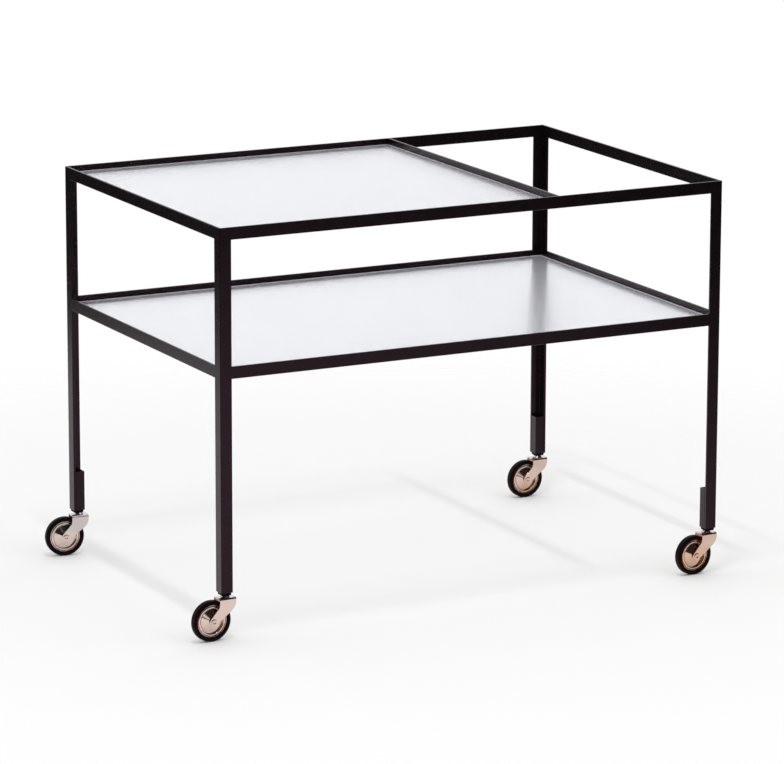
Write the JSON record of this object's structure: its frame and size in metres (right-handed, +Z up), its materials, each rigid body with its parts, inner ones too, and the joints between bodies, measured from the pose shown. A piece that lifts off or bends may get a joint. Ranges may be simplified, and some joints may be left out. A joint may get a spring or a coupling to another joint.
{
  "type": "bar cart",
  "caption": "Low bar cart: black angle-steel frame, textured glass top and shelf, open bottle bay at one end, swivel casters with plated forks and rubber tyres.",
  "frame": {"origin": "on the floor, under the middle of the rectangular frame", "axes": "+X along the length towards the open bottle bay, +Y from the front to the back, +Z up"},
  "size_m": [0.8239, 0.5207, 0.57],
  "materials": {
    "black_paint": "satin",
    "textured_glass": "hammered",
    "black_plastic": "matte",
    "plated_steel": "polished nickel",
    "black_rubber": "matte"
  },
  "bodies": {
    "frame": {"leg_front_left": "black_paint", "caster_socket_front_left": "black_paint", "leg_front_right": "black_paint", "caster_socket_front_right": "black_paint", "leg_back_right": "black_paint", "caster_socket_back_right": "black_paint", "leg_back_left": "black_paint", "caster_socket_back_left": "black_paint", "top_rail_front": "black_paint", "top_rail_back": "black_paint", "top_rail_left": "black_paint", "top_rail_right": "black_paint", "shelf_rail_front": "black_paint", "shelf_rail_back": "black_paint", "shelf_rail_left": "black_paint", "shelf_rail_right": "black_paint", "top_cross_rail": "black_paint", "upper_glass": "textured_glass", "lower_glass": "textured_glass", "stem_plugs": "black_plastic", "caster_stems": "plated_steel"},
    "caster_front_left": {"caster_fork_front_left": "plated_steel", "axle_rivet_front_left": "plated_steel"},
    "wheel_front_left": {"wheel_disc_front_left": "plated_steel", "hub_bush_front_left": "plated_steel", "tyre_front_left": "black_rubber"},
    "caster_front_right": {"caster_fork_front_right": "plated_steel", "axle_rivet_front_right": "plated_steel"},
    "wheel_front_right": {"wheel_disc_front_right": "plated_steel", "hub_bush_front_right": "plated_steel", "tyre_front_right": "black_rubber"},
    "caster_back_right": {"caster_fork_back_right": "plated_steel", "axle_rivet_back_right": "plated_steel"},
    "wheel_back_right": {"wheel_disc_back_right": "plated_steel", "hub_bush_back_right": "plated_steel", "tyre_back_right": "black_rubber"},
    "caster_back_left": {"caster_fork_back_left": "plated_steel", "axle_rivet_back_left": "plated_steel"},
    "wheel_back_left": {"wheel_disc_back_left": "plated_steel", "hub_bush_back_left": "plated_steel", "tyre_back_left": "black_rubber"}
  },
  "joints": [
    {"name": "swivel_front_left", "type": "hinge", "parent": "frame", "child": "caster_front_left", "pos_m": [-0.38, -0.2475, 0.05895], "axis": [0, 0, 1], "continuous": true},
    {"name": "roll_front_left", "type": "hinge", "parent": "caster_front_left", "child": "wheel_front_left", "pos_m": [-0.40196, -0.24884, 0.0285], "axis": [0.061, -0.9981, 0], "continuous": true},
    {"name": "swivel_front_right", "type": "hinge", "parent": "frame", "child": "caster_front_right", "pos_m": [0.38, -0.2475, 0.05895], "axis": [0, 0, 1], "continuous": true},
    {"name": "roll_front_right", "type": "hinge", "parent": "caster_front_right", "child": "wheel_front_right", "pos_m": [0.35807, -0.24923, 0.0285], "axis": [0.0785, -0.9969, 0], "continuous": true},
    {"name": "swivel_back_right", "type": "hinge", "parent": "frame", "child": "caster_back_right", "pos_m": [0.38, 0.2475, 0.05895], "axis": [0, 0, 1], "continuous": true},
    {"name": "roll_back_right", "type": "hinge", "parent": "caster_back_right", "child": "wheel_back_right", "pos_m": [0.35801, 0.24673, 0.0285], "axis": [0.0349, -0.9994, 0], "continuous": true},
    {"name": "swivel_back_left", "type": "hinge", "parent": "frame", "child": "caster_back_left", "pos_m": [-0.38, 0.2475, 0.05895], "axis": [0, 0, 1], "continuous": true},
    {"name": "roll_back_left", "type": "hinge", "parent": "caster_back_left", "child": "wheel_back_left", "pos_m": [-0.40188, 0.2498, 0.0285], "axis": [-0.1045, -0.9945, 0], "continuous": true}
  ]
}
